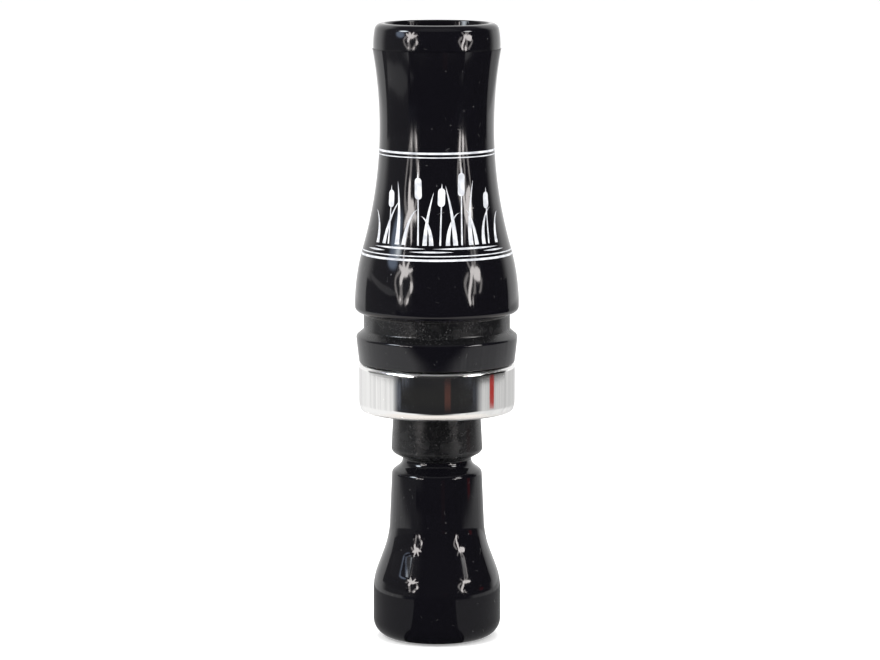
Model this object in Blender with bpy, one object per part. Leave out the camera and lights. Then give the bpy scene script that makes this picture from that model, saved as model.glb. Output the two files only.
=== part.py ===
"""Duck call: a turned acrylic barrel with a metal band, and a turned acrylic insert that
carries two O-rings, a tone board, a double reed and the cork wedge that clamps it.

Frame: metres, +Z along the call's axis from the bell end, on which it stands, to the mouth
end. The origin is the centre of the bell's end face. The reed side of the tone board faces -Y.
Sizes below are in millimetres, and each outline corner is (radius, height, fillet radius).
"""

import math

import bmesh
import bpy

MM = 0.001
SEGMENTS = 40  # facets round every turned piece
CHORD_ERROR = 0.05  # how far a faceted arc may lie from the true one
LARGEST_TURN = math.radians(45)  # from one facet to the next on a small fillet
SHARP = math.radians(35)
MERGE = 1e-6  # metres

# Driving dimensions
LENGTH = 125.2
BORE_R = 7.95  # 5/8 in bore
BAND_R = 15.875  # 1 1/4 in band
BAND_LOW, BAND_HIGH = 46.75, 56.55
BAND_TAPER_Z, BAND_LOW_R = 48.2, 15.5  # where the band starts to taper, and its lower edge
BAND_INNER_R = 14.3
PRESS_GAP = 0.1
SEAT_GAP = 0.2  # between the insert's shoulder and the barrel's end

# Barrel
RIM_R, RIM_OPENING_R, RIM_EDGE = 12.3, 10.5, 1.5
LIP_R, LIP_Z, LIP_ARC = 13.08, 120.75, 17.0
NECK_CORNER = (9.36, 100.15, 88.0)
BELLY_R, BELLY_Z, BELLY_ARC = 16.65, 74.1, 43.0
BELLY_END_Z = 67.25
GROOVE_R, GROOVE_HIGH, GROOVE_LOW = 14.85, 66.5, 63.3
COLLAR_HIGH_R, COLLAR_HIGH_Z, COLLAR_LOW_R = 16.4, 62.0, 15.8
COLLAR_CORNER = (16.16, 59.4, 110.0)
FUNNEL_Z = 112.0  # where the bore opens into the mouth

# Insert: the part that shows, from the stub down to the bell
STUB_HIGH_R, STUB_LOW_R, STUB_LOW_Z = 8.87, 9.32, 38.25
NOTCH_R, NOTCH_HIGH, NOTCH_LOW, NOTCH_LOW_ARC = 7.0, 36.95, 35.8, 1.9
SHOULDER_R, SHOULDER_Z, SHOULDER_EDGE = 9.17, 34.2, 1.2
WAIST_R, WAIST_Z, WAIST_ARC = 9.78, 20.6, 19.0
BELL_R, BELL_Z, BELL_ARC = 13.0, 11.95, 13.0
BELL_EDGE = 3.6
HORN_R, HORN_EDGE, HORN_TOP, HORN_ARC = 7.6, 0.8, 24.0, 12.0

# Insert: the tenon and tone board inside the barrel
TENON_R, TENON_TOP = 7.65, 66.0
RING_GROOVE_R, RING_GROOVE_W = 6.45, 2.0
RING_GROOVES = (50.6, 56.0)  # heights of the two grooves' middles
RING_INNER_R, RING_OUTER_R, RING_W, RING_EDGE = 6.5, 7.9, 1.8, 0.6
BOARD_R, BOARD_TIP_R, BOARD_TIP = 7.3, 7.0, 112.0
SOUND_BORE_R, SOUND_BORE_END = 3.6, 100.0
BOARD_Y = -0.8  # the tone board's flat
BOARD_FLAT_END = 84.0
BOARD_ARC = 180.0  # radius by which the board curves away to its tip
BOARD_STEPS = 8
SLOT_BACK, SLOT_FRONT = 59.5, 65.7  # the slot under the tenon's overhang
SLOT_BACK_Y, SLOT_FRONT_Y = -3.8, -5.4

# Reeds and cork wedge
REED_GAP = 0.3  # free space on each side of a reed, in which it can rock
LOWER_REED_T, UPPER_REED_T = 0.3, 0.25
REED_HALF_W, REED_BACK = 6.3, 61.5
LOWER_REED_TIP, UPPER_REED_TIP = 111.6, 110.4
REED_EAR = 1.6  # how much is clipped off each tip corner
DIMPLE_Z, DIMPLE_R, DIMPLE_DEPTH, DIMPLE_POINTS = 92.0, 1.6, 0.2, 16
WEDGE_R, WEDGE_BACK, WEDGE_FRONT, WEDGE_CREST = 7.5, 59.8, 73.5, 71.0
WEDGE_GAP = 0.3
OUTSIDE = 9.5  # beyond every radius that a cutter has to clear

LOWER_REED_Y = BOARD_Y - REED_GAP - LOWER_REED_T / 2
UPPER_REED_Y = LOWER_REED_Y - LOWER_REED_T / 2 - REED_GAP - UPPER_REED_T / 2
WEDGE_Y = UPPER_REED_Y - UPPER_REED_T / 2 - WEDGE_GAP


def clear_scene():
    for old in list(bpy.data.objects):
        bpy.data.objects.remove(old, do_unlink=True)


def material(name, colour, roughness, metallic=0.0):
    made = bpy.data.materials.new(name)
    made.use_nodes = True
    shader = made.node_tree.nodes["Principled BSDF"]
    shader.inputs["Base Color"].default_value = (*colour, 1.0)
    shader.inputs["Roughness"].default_value = roughness
    shader.inputs["Metallic"].default_value = metallic
    return made


def arc_steps(turn, radius):
    """How many facets an arc of this turn takes."""
    step = 2 * math.acos(max(0.0, 1 - CHORD_ERROR / radius))
    return max(1, math.ceil(turn / min(step, LARGEST_TURN)))


def fillet(before, corner, after, radius):
    """Points of the arc that rounds one corner of an outline."""
    to_before = math.atan2(before[1] - corner[1], before[0] - corner[0])
    to_after = math.atan2(after[1] - corner[1], after[0] - corner[0])
    opening = (to_after - to_before + math.pi) % (2 * math.pi) - math.pi
    middle = to_before + opening / 2
    reach = radius / math.sin(abs(opening) / 2)
    centre = (
        corner[0] + reach * math.cos(middle),
        corner[1] + reach * math.sin(middle),
    )
    turn = math.pi - abs(opening)
    steps = arc_steps(turn, radius)
    side = math.copysign(1.0, opening)
    points = []
    for k in range(steps + 1):
        angle = middle + math.pi + side * turn * (0.5 - k / steps)
        points.append(
            (
                centre[0] + radius * math.cos(angle),
                centre[1] + radius * math.sin(angle),
            )
        )
    return points


def rounded(corners, closed=True):
    """An outline's points, from its corners (radius, height, fillet radius)."""
    points = []
    count = len(corners)
    for i, (r, z, radius) in enumerate(corners):
        at_end = not closed and i in (0, count - 1)
        if radius == 0 or at_end:
            points.append((r, z))
        else:
            before = corners[i - 1]
            after = corners[(i + 1) % count]
            points += fillet(before, (r, z), after, radius)
    return points


def object_from(name, bm, look):
    """A smooth-shaded object from a bmesh in metres."""
    bmesh.ops.remove_doubles(bm, verts=bm.verts, dist=MERGE)
    bmesh.ops.recalc_face_normals(bm, faces=bm.faces)
    mesh = bpy.data.meshes.new(name)
    bm.to_mesh(mesh)
    bm.free()
    if look:
        mesh.materials.append(look)
    mesh.shade_smooth()
    mesh.set_sharp_from_angle(angle=SHARP)
    made = bpy.data.objects.new(name, mesh)
    bpy.context.scene.collection.objects.link(made)
    return made


def turned(name, points, look, closed=True):
    """A body of revolution about Z. An open outline has both its ends on the axis."""
    bm = bmesh.new()
    verts = [bm.verts.new((r * MM, 0, z * MM)) for r, z in points]
    pairs = list(zip(verts, verts[1:]))
    if closed:
        pairs.append((verts[-1], verts[0]))
    edges = [bm.edges.new(pair) for pair in pairs]
    bmesh.ops.spin(
        bm,
        geom=verts + edges,
        cent=(0, 0, 0),
        axis=(0, 0, 1),
        angle=2 * math.pi,
        steps=SEGMENTS,
        use_merge=True,
    )
    return object_from(name, bm, look)


def extruded(name, points, half_width, look=None):
    """A prism along X from an outline of (y, z) points."""
    bm = bmesh.new()
    face = bm.faces.new([bm.verts.new((-half_width * MM, y * MM, z * MM)) for y, z in points])
    grown = bmesh.ops.extrude_face_region(bm, geom=[face])
    moved = [item for item in grown["geom"] if isinstance(item, bmesh.types.BMVert)]
    bmesh.ops.translate(bm, verts=moved, vec=(2 * half_width * MM, 0, 0))
    return object_from(name, bm, look)


def boolean(target, cutter, operation):
    """Cuts or trims target with a cutter that stays in the scene as a wire."""
    cutter.hide_render = True
    cutter.display_type = "WIRE"
    modifier = target.modifiers.new(cutter.name, "BOOLEAN")
    modifier.operation = operation
    modifier.object = cutter


def make_barrel(look):
    seat_r = BAND_INNER_R - PRESS_GAP
    collar_end = BAND_HIGH + PRESS_GAP
    return turned(
        "barrel",
        rounded(
            [
                (RIM_OPENING_R, LENGTH, 0.35),
                (RIM_R, LENGTH, RIM_EDGE),
                (LIP_R, LIP_Z, LIP_ARC),
                NECK_CORNER,
                (BELLY_R, BELLY_Z, BELLY_ARC),
                (BELLY_R, BELLY_END_Z, 1.2),
                (GROOVE_R, GROOVE_HIGH, 0.3),
                (GROOVE_R, GROOVE_LOW, 0.6),
                (COLLAR_HIGH_R, COLLAR_HIGH_Z, 0.6),
                COLLAR_CORNER,
                (COLLAR_LOW_R, collar_end, 0),
                (seat_r, collar_end, 0),
                (seat_r, BAND_LOW, 0.3),
                (BORE_R, BAND_LOW, 0.4),
                (BORE_R, FUNNEL_Z, 10.0),
            ]
        ),
        look,
    )


def make_band(look):
    return turned(
        "band",
        rounded(
            [
                (BAND_INNER_R, BAND_LOW, 0.2),
                (BAND_LOW_R, BAND_LOW, 0.5),
                (BAND_R, BAND_TAPER_Z, 3.0),
                (BAND_R, BAND_HIGH, 1.0),
                (BAND_INNER_R, BAND_HIGH, 0),
            ]
        ),
        look,
    )


def board_surface():
    """(y, z) points along the tone board, from the slot's back to past the tip."""
    points = [(BOARD_Y, SLOT_BACK), (BOARD_Y, BOARD_FLAT_END)]
    run = BOARD_TIP + 1 - BOARD_FLAT_END
    for k in range(1, BOARD_STEPS + 1):
        along = run * k / BOARD_STEPS
        points.append((BOARD_Y + along**2 / (2 * BOARD_ARC), BOARD_FLAT_END + along))
    return points


def make_board_cutter():
    """Takes the reed side off the board, and saws the slot that the wedge sits in."""
    surface = board_surface()
    top = surface[-1][1]
    outline = surface + [
        (-OUTSIDE, top),
        (-OUTSIDE, SLOT_FRONT),
        (SLOT_FRONT_Y, SLOT_FRONT),
        (SLOT_BACK_Y, SLOT_BACK),
    ]
    return extruded("board_cutter", outline, OUTSIDE)


def ring_groove_corners(middle):
    low, high = middle - RING_GROOVE_W / 2, middle + RING_GROOVE_W / 2
    return [
        (TENON_R, high, 0),
        (RING_GROOVE_R, high, 0),
        (RING_GROOVE_R, low, 0),
        (TENON_R, low, 0),
    ]


def make_insert(look):
    corners = [
        (0, BOARD_TIP, 0),
        (BOARD_TIP_R, BOARD_TIP, 1.5),
        (BOARD_R, TENON_TOP + 0.4, 0),
        (TENON_R, TENON_TOP, 0),
    ]
    for middle in reversed(RING_GROOVES):
        corners += ring_groove_corners(middle)
    corners += [
        (TENON_R, BAND_LOW - SEAT_GAP, 0),
        (STUB_HIGH_R, BAND_LOW - SEAT_GAP, 0.3),
        (STUB_LOW_R, STUB_LOW_Z, 1.2),
        (NOTCH_R, NOTCH_HIGH, 0.3),
        (NOTCH_R, NOTCH_LOW, NOTCH_LOW_ARC),
        (SHOULDER_R, SHOULDER_Z, SHOULDER_EDGE),
        (WAIST_R, WAIST_Z, WAIST_ARC),
        (BELL_R, BELL_Z, BELL_ARC),
        (BELL_R, 0, BELL_EDGE),
        (HORN_R, 0, HORN_EDGE),
        (SOUND_BORE_R, HORN_TOP, HORN_ARC),
        (SOUND_BORE_R, SOUND_BORE_END, 2.0),
        (0, SOUND_BORE_END, 0),
    ]
    insert = turned("insert", rounded(corners, closed=False), look, closed=False)
    boolean(insert, make_board_cutter(), "DIFFERENCE")
    return insert


def make_o_ring(name, middle, look):
    low, high = middle - RING_W / 2, middle + RING_W / 2
    return turned(
        name,
        rounded(
            [
                (RING_INNER_R, low, RING_EDGE),
                (RING_OUTER_R, low, RING_EDGE),
                (RING_OUTER_R, high, RING_EDGE),
                (RING_INNER_R, high, RING_EDGE),
            ]
        ),
        look,
    )


def reed_outline(tip):
    """(x, z) corners of a reed, with its two tip corners clipped."""
    return [
        (-REED_HALF_W, REED_BACK),
        (REED_HALF_W, REED_BACK),
        (REED_HALF_W, tip - REED_EAR),
        (REED_HALF_W - REED_EAR, tip),
        (-REED_HALF_W + REED_EAR, tip),
        (-REED_HALF_W, tip - REED_EAR),
    ]


def ring_of_verts(bm, radius, y):
    """A ring round the dimple's middle, and the edges that join it."""
    verts = []
    for k in range(DIMPLE_POINTS):
        angle = 2 * math.pi * k / DIMPLE_POINTS
        x = radius * math.cos(angle)
        z = DIMPLE_Z - WEDGE_FRONT + radius * math.sin(angle)
        verts.append(bm.verts.new((x * MM, y * MM, z * MM)))
    edges = [bm.edges.new(pair) for pair in zip(verts, verts[1:] + verts[:1])]
    return verts, edges


def add_dimple(bm):
    """Fills the hole in the upper reed with a dent pressed towards the lower one."""
    outer, border = ring_of_verts(bm, DIMPLE_R, 0)
    inner, _ = ring_of_verts(bm, DIMPLE_R / 2, DIMPLE_DEPTH * 0.75)
    middle = bm.verts.new((0, DIMPLE_DEPTH * MM, (DIMPLE_Z - WEDGE_FRONT) * MM))
    for k in range(DIMPLE_POINTS):
        after = (k + 1) % DIMPLE_POINTS
        bm.faces.new((outer[k], outer[after], inner[after], inner[k]))
        bm.faces.new((inner[k], inner[after], middle))
    return border


def make_reed(name, tip, y, thickness, look, dimple=False):
    """A strip of film whose origin is on its flex line, at the wedge's front edge."""
    bm = bmesh.new()
    verts = [bm.verts.new((x * MM, 0, (z - WEDGE_FRONT) * MM)) for x, z in reed_outline(tip)]
    edges = [bm.edges.new(pair) for pair in zip(verts, verts[1:] + verts[:1])]
    if dimple:
        edges += add_dimple(bm)
    bmesh.ops.triangle_fill(bm, edges=edges, use_beauty=True)
    reed = object_from(name, bm, look)
    reed.location = (0, y * MM, WEDGE_FRONT * MM)
    sheet = reed.modifiers.new("film_thickness", "SOLIDIFY")
    sheet.thickness = thickness * MM
    sheet.offset = 0
    return reed


def make_wedge(look):
    """Cork block: a tail under the tenon's overhang, and a round back flush with the tenon."""
    front_face = SLOT_FRONT + WEDGE_GAP
    outline = [
        (WEDGE_Y, WEDGE_BACK),
        (WEDGE_Y, WEDGE_FRONT),
        (-OUTSIDE, WEDGE_CREST),
        (-OUTSIDE, front_face),
        (SLOT_FRONT_Y + WEDGE_GAP, front_face),
        (SLOT_BACK_Y + WEDGE_GAP, WEDGE_BACK),
    ]
    wedge = extruded("reed_wedge", outline, OUTSIDE, look)
    envelope = turned(
        "wedge_envelope",
        [(0, WEDGE_BACK - 1), (WEDGE_R, WEDGE_BACK - 1), (WEDGE_R, WEDGE_FRONT + 1), (0, WEDGE_FRONT + 1)],
        None,
        closed=False,
    )
    boolean(wedge, envelope, "INTERSECT")
    return wedge


def joint_empty(name, y, z, parent=None):
    """Marks the axis on which the pieces parented to it move."""
    empty = bpy.data.objects.new(name, None)
    bpy.context.scene.collection.objects.link(empty)
    empty.empty_display_size = 0.01
    empty.location = (0, y * MM, z * MM)
    if parent:
        hang(empty, parent)
    return empty


def hang(child, parent):
    """Parents child without moving it."""
    bpy.context.view_layer.update()
    child.parent = parent
    child.matrix_parent_inverse = parent.matrix_world.inverted()


def main():
    clear_scene()
    acrylic = material("black_acrylic", (0.012, 0.012, 0.014), 0.08)
    metal = material("polished_aluminium", (0.86, 0.86, 0.85), 0.12, metallic=1.0)
    rubber = material("black_rubber", (0.02, 0.02, 0.02), 0.6)
    film = material("reed_film", (0.85, 0.87, 0.84), 0.3)
    cork = material("cork", (0.55, 0.36, 0.2), 0.85)

    make_barrel(acrylic)
    make_band(metal)

    pull_axis = joint_empty("insert_pull_and_twist_axis", 0, BAND_LOW)
    hang(make_insert(acrylic), pull_axis)
    for name, middle in zip(("o_ring_rear", "o_ring_front"), RING_GROOVES):
        hang(make_o_ring(name, middle, rubber), pull_axis)

    wedge_axis = joint_empty("wedge_pull_axis", WEDGE_Y, WEDGE_FRONT, pull_axis)
    hang(make_wedge(cork), wedge_axis)
    hang(make_reed("reed_lower", LOWER_REED_TIP, LOWER_REED_Y, LOWER_REED_T, film), wedge_axis)
    upper = make_reed("reed_upper", UPPER_REED_TIP, UPPER_REED_Y, UPPER_REED_T, film, dimple=True)
    hang(upper, wedge_axis)


main()
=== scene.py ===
"""The looks of a duck call: polished black acrylic, a polished metal band, a frosted
engraving, and the rubber, cork and reed film inside.

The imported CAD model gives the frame. Each turned piece is made again here from the same
outline with fine facets, and rides on its CAD body. Outline corners are in millimetres, as
(radius, height, fillet radius, finish); the meshes are in metres.
"""

import math

import bmesh
import bpy
import numpy as np
from mathutils import Matrix, Vector


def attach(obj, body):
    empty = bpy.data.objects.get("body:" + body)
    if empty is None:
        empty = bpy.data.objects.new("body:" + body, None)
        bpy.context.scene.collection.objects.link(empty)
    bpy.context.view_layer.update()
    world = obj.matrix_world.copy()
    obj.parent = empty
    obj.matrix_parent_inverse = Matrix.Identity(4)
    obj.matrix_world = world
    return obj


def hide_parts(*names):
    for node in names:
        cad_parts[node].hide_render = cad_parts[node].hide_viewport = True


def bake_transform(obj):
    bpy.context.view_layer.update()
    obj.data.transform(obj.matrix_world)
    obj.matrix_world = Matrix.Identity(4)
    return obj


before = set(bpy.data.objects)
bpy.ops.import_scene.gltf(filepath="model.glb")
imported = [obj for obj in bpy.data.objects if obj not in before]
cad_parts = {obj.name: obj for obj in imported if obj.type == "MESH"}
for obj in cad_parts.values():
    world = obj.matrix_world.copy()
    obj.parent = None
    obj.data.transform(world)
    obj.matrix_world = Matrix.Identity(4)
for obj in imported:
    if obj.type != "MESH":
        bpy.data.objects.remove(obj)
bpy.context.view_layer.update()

MM = 0.001
ON_AXIS = 1e-6  # a radius below this is a point on the axis
SEGMENTS = 144  # facets round a turned piece
ARC_STEP = math.radians(3.0)  # of one facet on a fillet
LONG_ARC_STEP = math.radians(0.7)  # of one facet on an arc of over 8 mm radius
LONG_ARC_R = 8.0
SHARP = math.radians(32)  # edges that fold more than this stay crisp

POLISHED, TURNED = 0, 1  # finishes, which are also the material slots of the acrylic pieces

# Sizes shared with the CAD outlines
LENGTH = 125.2
BORE_R = 7.95
BAND_R = 15.875
BAND_LOW, BAND_HIGH = 46.75, 56.55
BAND_TAPER_Z, BAND_LOW_R = 48.2, 15.5  # where the band starts to taper, and its lower edge
BAND_INNER_R = 14.3
PRESS_GAP = 0.1
SEAT_GAP = 0.2
FUNNEL_Z = 112.0
TENON_R, TENON_TOP = 7.65, 66.0
RING_GROOVE_R, RING_GROOVE_W = 6.45, 2.0
RING_GROOVES = {"o_ring_rear": 50.6, "o_ring_front": 56.0}
RING_INNER_R, RING_OUTER_R, RING_W = 6.5, 7.9, 1.8
BOARD_R, BOARD_TIP_R, BOARD_TIP = 7.3, 7.0, 112.0
SOUND_BORE_R, SOUND_BORE_END = 3.6, 100.0
BOARD_Y, BOARD_FLAT_END, BOARD_ARC = -0.8, 84.0, 180.0
SLOT_BACK, SLOT_FRONT = 59.5, 65.7
SLOT_BACK_Y, SLOT_FRONT_Y = -3.8, -5.4
REED_HALF_W, REED_BACK, REED_EAR = 6.3, 61.5, 1.6
REED_TIPS = {"reed_lower": 111.6, "reed_upper": 110.4}
REED_T = {"reed_lower": 0.3, "reed_upper": 0.25}
REED_FREE_Y = {"reed_lower": -1.25, "reed_upper": -1.825}  # middle of the film, ahead of the wedge
DIMPLE_Z, DIMPLE_R, DIMPLE_DEPTH = 92.0, 1.6, 0.2
WEDGE_R, WEDGE_BACK, WEDGE_FRONT, WEDGE_CREST = 7.5, 59.8, 73.5, 71.0
WEDGE_GAP = 0.3
OUTSIDE = 9.5  # past the tenon's side, where cutters and blocks end

BARREL_OUTSIDE = [
    (10.5, LENGTH, 0.35, POLISHED),
    (12.3, LENGTH, 1.5, POLISHED),
    (13.08, 120.75, 17.0, POLISHED),
    (9.36, 100.15, 88.0, POLISHED),
    (16.65, 74.1, 43.0, POLISHED),
    (16.65, 67.25, 1.2, POLISHED),
    (14.85, 66.5, 0.3, TURNED),
    (14.85, 63.3, 0.6, TURNED),
    (16.4, 62.0, 0.6, POLISHED),
    (16.16, 59.4, 110.0, POLISHED),
    (15.8, BAND_HIGH + PRESS_GAP, 0.15, POLISHED),
]
INSERT_OUTSIDE = [
    (8.87, BAND_LOW - SEAT_GAP, 0.3, TURNED),
    (9.32, 38.25, 1.2, TURNED),
    (7.0, 36.95, 0.3, TURNED),
    (7.0, 35.8, 1.9, POLISHED),
    (9.17, 34.2, 1.2, POLISHED),
    (9.78, 20.6, 19.0, POLISHED),
    (13.0, 11.95, 13.0, POLISHED),
    (13.0, 0, 3.6, POLISHED),
]
BELL_R, FLARE_END = 7.6, 24.0  # the bell's mouth, and where its flare meets the sound bore


# ---------------------------------------------------------------- outlines and meshes


def fillet(before, corner, after, radius):
    """Points of the arc that rounds one corner of an outline."""
    to_before = math.atan2(before[1] - corner[1], before[0] - corner[0])
    to_after = math.atan2(after[1] - corner[1], after[0] - corner[0])
    opening = (to_after - to_before + math.pi) % (2 * math.pi) - math.pi
    middle = to_before + opening / 2
    reach = radius / math.sin(abs(opening) / 2)
    centre_r = corner[0] + reach * math.cos(middle)
    centre_z = corner[1] + reach * math.sin(middle)
    turn = math.pi - abs(opening)
    step = LONG_ARC_STEP if radius > LONG_ARC_R else ARC_STEP
    steps = max(2, math.ceil(turn / step))
    side = math.copysign(1.0, opening)
    points = []
    for k in range(steps + 1):
        angle = middle + math.pi + side * turn * (0.5 - k / steps)
        points.append((centre_r + radius * math.cos(angle), centre_z + radius * math.sin(angle)))
    return points


def rounded(corners, closed=True):
    """(radius, height, finish) points of an outline; a finish holds from its point on."""
    points = []
    count = len(corners)
    for i, (r, z, radius, finish) in enumerate(corners):
        at_end = not closed and i in (0, count - 1)
        if radius == 0 or at_end:
            points.append((r, z, finish))
        else:
            arc = fillet(corners[i - 1], (r, z), corners[(i + 1) % count], radius)
            points += [(*point, finish) for point in arc]
    return points


def mesh_object(name, bm, materials, body=None, nodes=()):
    """A smooth object from a bmesh in metres, on a CAD body and in place of CAD nodes."""
    bmesh.ops.recalc_face_normals(bm, faces=bm.faces)
    mesh = bpy.data.meshes.new(name)
    bm.to_mesh(mesh)
    bm.free()
    for look in materials:
        mesh.materials.append(look)
    mesh.shade_smooth()
    mesh.set_sharp_from_angle(angle=SHARP)
    made = bpy.data.objects.new(name, mesh)
    bpy.context.scene.collection.objects.link(made)
    if body:
        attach(made, body)
    if nodes:
        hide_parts(*nodes)
    return made


def lathe(points, closed=True):
    """A bmesh of revolution about Z. An open outline has both its ends on the axis."""
    bm = bmesh.new()
    rings = []
    for r, z, _ in points:
        if r < ON_AXIS:
            rings.append([bm.verts.new((0, 0, z * MM))])
            continue
        ring = []
        for k in range(SEGMENTS):
            angle = 2 * math.pi * k / SEGMENTS
            ring.append(bm.verts.new((r * MM * math.sin(angle), -r * MM * math.cos(angle), z * MM)))
        rings.append(ring)
    pairs = list(zip(range(len(rings)), range(1, len(rings))))
    if closed:
        pairs.append((len(rings) - 1, 0))
    for a, b in pairs:
        for k in range(SEGMENTS):
            after = (k + 1) % SEGMENTS
            corners = [
                rings[a][k % len(rings[a])],
                rings[a][after % len(rings[a])],
                rings[b][after % len(rings[b])],
                rings[b][k % len(rings[b])],
            ]
            face = bm.faces.new(list(dict.fromkeys(corners)))
            face.material_index = points[a][2]
    return bm


def prism(points, half_width, finish=POLISHED):
    """A bmesh prism along X from an outline of (y, z) points."""
    bm = bmesh.new()
    face = bm.faces.new([bm.verts.new((-half_width * MM, y * MM, z * MM)) for y, z in points])
    grown = bmesh.ops.extrude_face_region(bm, geom=[face])
    moved = [item for item in grown["geom"] if isinstance(item, bmesh.types.BMVert)]
    bmesh.ops.translate(bm, verts=moved, vec=(2 * half_width * MM, 0, 0))
    for each in bm.faces:
        each.material_index = finish
    return bm


def apply_modifiers(target):
    """Replaces target's mesh by what its modifiers make of it."""
    bpy.context.view_layer.update()
    evaluated = target.evaluated_get(bpy.context.evaluated_depsgraph_get())
    mesh = bpy.data.meshes.new_from_object(evaluated)
    target.modifiers.clear()
    target.data = mesh
    mesh.shade_smooth()


def cut(target, cutter, operation):
    """Applies a Boolean to target's mesh and removes the cutter."""
    modifier = target.modifiers.new("cut", "BOOLEAN")
    modifier.operation = operation
    modifier.object = cutter
    apply_modifiers(target)
    target.data.set_sharp_from_angle(angle=SHARP)
    bpy.data.objects.remove(cutter, do_unlink=True)


# ---------------------------------------------------------------- materials

ACRYLIC_IOR, POLYESTER_IOR = 1.49, 1.6


class Nodes:
    """Short calls that add nodes to a tree, which work from one kind of coordinates."""

    def __init__(self, tree, coordinates):
        self.tree = tree
        self.place = self.node("ShaderNodeTexCoord").outputs[coordinates]

    def node(self, kind, inputs=None, **settings):
        made = self.tree.nodes.new(kind)
        for key, value in settings.items():
            setattr(made, key, value)
        for key, value in (inputs or {}).items():
            self.feed(made.inputs[key], value)
        return made

    def feed(self, socket, value):
        if isinstance(value, bpy.types.NodeSocket):
            self.tree.links.new(value, socket)
        else:
            socket.default_value = value

    def scaled(self, x, y, z):
        """The coordinates, stretched along each axis."""
        return self.node("ShaderNodeMapping", {"Vector": self.place, "Scale": (x, y, z)}).outputs[0]

    def noise(self, scale, detail=2.0, vector=None, roughness=0.5):
        inputs = {
            "Vector": vector or self.place,
            "Scale": scale,
            "Detail": detail,
            "Roughness": roughness,
        }
        return self.node("ShaderNodeTexNoise", inputs).outputs["Fac"]

    def cells(self, scale, output="Distance", feature="F1", vector=None):
        inputs = {"Vector": vector or self.place, "Scale": scale}
        return self.node("ShaderNodeTexVoronoi", inputs, feature=feature).outputs[output]

    def remap(self, value, low, high, to_low=0.0, to_high=1.0):
        inputs = {
            "Value": value,
            "From Min": low,
            "From Max": high,
            "To Min": to_low,
            "To Max": to_high,
        }
        return self.node("ShaderNodeMapRange", inputs, interpolation_type="SMOOTHSTEP").outputs[0]

    def maths(self, operation, a, b=0.0):
        return self.node("ShaderNodeMath", {0: a, 1: b}, operation=operation).outputs[0]

    def mix(self, share, a, b):
        made = self.node("ShaderNodeMix", data_type="RGBA")
        self.feed(made.inputs[0], share)
        self.feed(made.inputs[6], a)
        self.feed(made.inputs[7], b)
        return made.outputs[2]


class Look(Nodes):
    """A Principled material in the object's own coordinates."""

    def __init__(self, name, colour, roughness, **sockets):
        self.material = bpy.data.materials.new(name)
        self.material.use_nodes = True
        super().__init__(self.material.node_tree, "Object")
        self.shader = self.tree.nodes["Principled BSDF"]
        self.shader.inputs["Base Color"].default_value = colour
        self.shader.inputs["Roughness"].default_value = roughness
        for socket, value in sockets.items():
            self.shader.inputs[socket.replace("_", " ")].default_value = value

    def bump(self, height, depth_mm, normal=None):
        """Adds relief of that depth, in millimetres, and returns its normal."""
        inputs = {"Height": height, "Distance": depth_mm * MM, "Strength": 1.0}
        if normal:
            inputs["Normal"] = normal
        made = self.node("ShaderNodeBump", inputs).outputs[0]
        self.set("Normal", made)
        return made

    def set(self, socket, value):
        self.feed(self.shader.inputs[socket], value)


def rgb(red, green, blue):
    return (red, green, blue, 1.0)


def grey(value, blue=1.0):
    return rgb(value, value, value * blue)


def specks(look, scale, share, size):
    """A mask of dust: the share of cells that hold a speck, and its size in a cell."""
    held = look.node("ShaderNodeSeparateColor", {0: look.cells(scale, output="Color")}).outputs[0]
    spot = look.remap(look.cells(scale), size, size * 0.3)
    return look.maths("MULTIPLY", spot, look.remap(held, 1 - share, 1 - share * 0.6))


def scratches(look, scale, share, width):
    """A mask of fine curved scratches: short stretches of a noise's contour lines."""
    level = look.maths("ABSOLUTE", look.maths("SUBTRACT", look.noise(scale, 0), 0.5))
    kept = look.remap(look.noise(scale * 1.7, 1), 1 - share, 1.04 - share)
    return look.maths("MULTIPLY", look.remap(level, width, 0.0), kept)


def polished_acrylic():
    """Black and clear, with a slight haze and a few specks and fine scratches."""
    black = rgb(0.003, 0.0028, 0.0042)
    look = Look("acrylic_polished", black, 0.035, IOR=ACRYLIC_IOR)
    haze = look.remap(look.noise(45, 3), 0.35, 0.75)
    marks = look.maths("MAXIMUM", specks(look, 1100, 0.025, 0.26), scratches(look, 330, 0.35, 0.014))
    look.set("Base Color", look.mix(marks, black, grey(0.04)))
    gloss = look.remap(haze, 0, 1, 0.05, 0.085)
    look.set("Roughness", look.maths("ADD", gloss, look.maths("MULTIPLY", marks, 0.25)))
    look.bump(look.noise(140, 1), 0.004)
    return look.material


def turned_acrylic():
    """Left from the lathe: faint rings, with dust and scratches that stay in them."""
    look = Look("acrylic_turned", rgb(0.006, 0.006, 0.007), 0.3, IOR=ACRYLIC_IOR)
    coarse = specks(look, 1500, 0.22, 0.4)
    fine = look.maths("MULTIPLY", specks(look, 3200, 0.5, 0.5), 0.6)
    drawn = look.maths("MULTIPLY", scratches(look, 260, 0.4, 0.02), 0.5)
    film = look.remap(look.noise(420, 5), 0.42, 0.75)
    marks = look.maths("MAXIMUM", look.maths("MAXIMUM", coarse, fine), drawn)
    marks = look.maths("MULTIPLY", marks, look.remap(look.noise(170, 3), 0.4, 0.65, 0.15, 1.0))
    dusty = look.maths("MAXIMUM", marks, look.maths("MULTIPLY", film, 0.05))
    look.set("Base Color", look.mix(dusty, grey(0.0042, 1.15), grey(0.06)))
    look.set("Roughness", look.remap(film, 0, 1, 0.24, 0.36))
    rings = look.noise(1.0, 2, vector=look.scaled(40, 40, 9000))
    look.bump(rings, 0.0015)
    return look.material


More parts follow.
